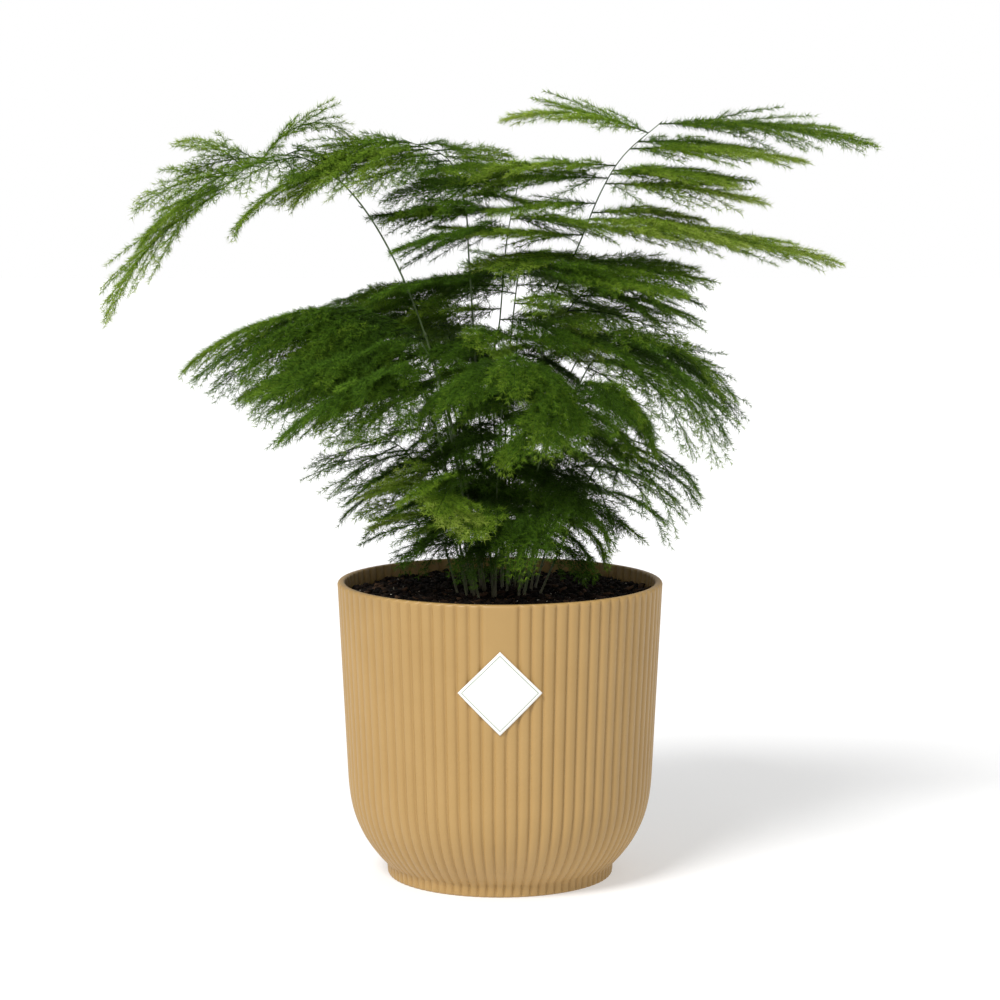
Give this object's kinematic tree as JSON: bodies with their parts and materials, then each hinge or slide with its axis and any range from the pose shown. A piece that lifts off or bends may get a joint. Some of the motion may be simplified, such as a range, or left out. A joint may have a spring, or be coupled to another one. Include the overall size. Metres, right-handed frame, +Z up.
{
  "type": "potted asparagus fern",
  "caption": "Asparagus fern with wiry arching stems and layered feathery foliage, growing in a ribbed round plastic pot with a plain diamond label.",
  "frame": {"origin": "centre of the pot's foot, on the surface it stands on", "axes": "+Z up along the pot's axis; -Y towards the labelled front; +X to the right as seen from the front"},
  "size_m": [0.3225, 0.2037, 0.3274],
  "materials": {
    "pot_plastic": "satin moulded plastic, sand coloured",
    "label_paper": "matt coated paper",
    "growing_mix": "loose dark peat mix",
    "crown_root": "fleshy crown and roots, dull",
    "stem_wire": "wiry green stem, satin",
    "foliage": "soft needle-like foliage"
  },
  "bodies": {
    "root": {"pot": "pot_plastic", "label": "label_paper", "soil": "growing_mix", "root_crown": "crown_root", "stem_left_arch": "stem_wire", "frond_left_arch": "foliage", "stem_left_crest": "stem_wire", "frond_left_crest": "foliage", "stem_tall_right": "stem_wire", "frond_tall_right": "foliage", "stem_centre_spire": "stem_wire", "frond_centre_spire": "foliage", "stem_left_wing": "stem_wire", "frond_left_wing": "foliage", "stem_left_wing_low": "stem_wire", "frond_left_wing_low": "foliage", "stem_wedge_middle": "stem_wire", "frond_wedge_middle": "foliage", "stem_front_fall": "stem_wire", "frond_front_fall": "foliage", "stem_front_right_fall": "stem_wire", "frond_front_right_fall": "foliage", "stem_right_wing": "stem_wire", "frond_right_wing": "foliage", "stem_right_low": "stem_wire", "frond_right_low": "foliage", "stem_left_low": "stem_wire", "frond_left_low": "foliage", "stem_left_skirt": "stem_wire", "frond_left_skirt": "foliage", "stem_bright_shelf": "stem_wire", "frond_bright_shelf": "foliage", "stem_right_skirt": "stem_wire", "frond_right_skirt": "foliage", "stem_back_left": "stem_wire", "frond_back_left": "foliage", "stem_back_rise": "stem_wire", "frond_back_rise": "foliage", "stem_back_right": "stem_wire", "frond_back_right": "foliage", "stem_back_low": "stem_wire", "frond_back_low": "foliage", "stem_back_left_low": "stem_wire", "frond_back_left_low": "foliage", "stem_back_right_low": "stem_wire", "frond_back_right_low": "foliage", "stem_inner_left": "stem_wire", "frond_inner_left": "foliage", "stem_inner_right": "stem_wire", "frond_inner_right": "foliage", "stem_core_front": "stem_wire", "frond_core_front": "foliage", "stem_core_right": "stem_wire", "frond_core_right": "foliage", "stem_core_left": "stem_wire", "frond_core_left": "foliage", "stem_core_back": "stem_wire", "frond_core_back": "foliage", "stem_core_middle": "stem_wire", "frond_core_middle": "foliage"}
  },
  "joints": []
}
